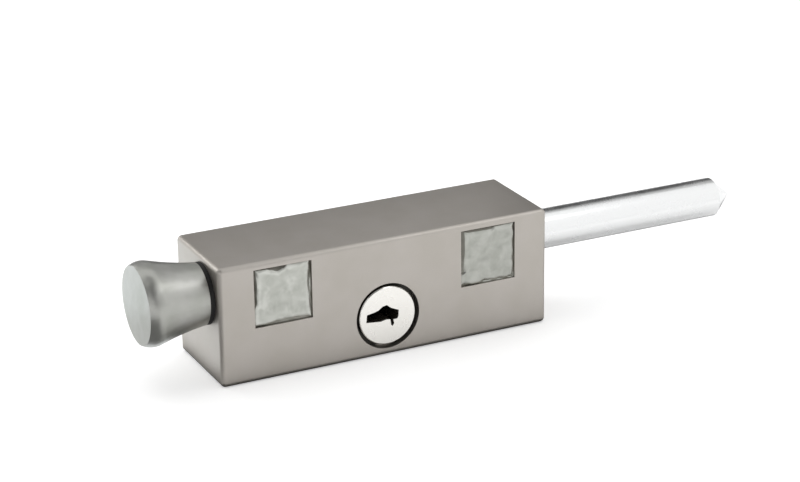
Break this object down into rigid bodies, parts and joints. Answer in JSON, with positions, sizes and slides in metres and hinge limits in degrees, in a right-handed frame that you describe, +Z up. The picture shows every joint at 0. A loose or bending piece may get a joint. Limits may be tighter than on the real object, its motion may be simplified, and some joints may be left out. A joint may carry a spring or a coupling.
{
  "type": "patio door bolt",
  "caption": "Surface-mounted patio door bolt with a pull knob, a sliding round bolt, a key cylinder and square screw covers.",
  "frame": {"origin": "middle of the face that lies on the door, at half the body's length and half its height", "axes": "+X along the bolt, out of its free end; +Y into the door, square to the mounting face; +Z up, at right angles to both"},
  "size_m": [0.1634, 0.0267, 0.0313],
  "materials": {
    "satin_nickel": "fine satin nickel plate on a die-cast body",
    "satin_knob": "satin plate on a turned knob",
    "cover_metal": "soft metal cover, hammered into its window",
    "cylinder_chrome": "bright plated cylinder face",
    "chrome": "bright plated bar",
    "dark_steel": "blackened cylinder barrel",
    "brass": "machined brass",
    "zinc_steel": "zinc-plated steel",
    "spring_steel": "drawn wire",
    "black_nylon": "moulded black nylon",
    "rubber": "black rubber"
  },
  "bodies": {
    "body": {"housing": "satin_nickel", "back_plate": "zinc_steel", "back_plate_screws": "zinc_steel", "rear_bush": "black_nylon", "nose_bush": "black_nylon", "nose_seal": "rubber", "screw_cover_left": "cover_metal", "screw_cover_right": "cover_metal", "cylinder_shell": "dark_steel", "cylinder_keeper": "zinc_steel", "cylinder_keeper_screws": "zinc_steel", "driver_pins": "brass", "tumbler_springs": "spring_steel", "tumbler_cover_strip": "brass", "friction_pad": "black_nylon", "friction_spring": "spring_steel", "friction_grub_screw": "zinc_steel", "travel_stop_screw": "zinc_steel"},
    "bolt": {"bolt_rod": "chrome", "knob": "satin_knob", "knob_buffer": "rubber", "knob_stud": "zinc_steel"},
    "plug": {"cylinder_plug": "cylinder_chrome", "key_pins": "brass", "plug_circlip": "spring_steel", "lock_cam": "zinc_steel", "cam_screw": "zinc_steel"},
    "slide": {"locking_slide": "zinc_steel", "follower_peg": "zinc_steel"}
  },
  "joints": [
    {"name": "bolt_slide", "type": "slide", "parent": "body", "child": "bolt", "axis": [1, 0, 0], "range_m": [-0.017, 0]},
    {"name": "plug_turn", "type": "hinge", "parent": "body", "child": "plug", "pos_m": [-0.0001, -0.0158, -0.0048], "axis": [0, 1, 0], "range_deg": [0, 90]},
    {"name": "locking_slide", "type": "slide", "parent": "body", "child": "slide", "axis": [0, 0, 1], "range_m": [0, 0.002]}
  ],
  "couplings": [
    {"joint": "plug_turn", "follows": "locking_slide", "rad_per_m": 785.4}
  ]
}
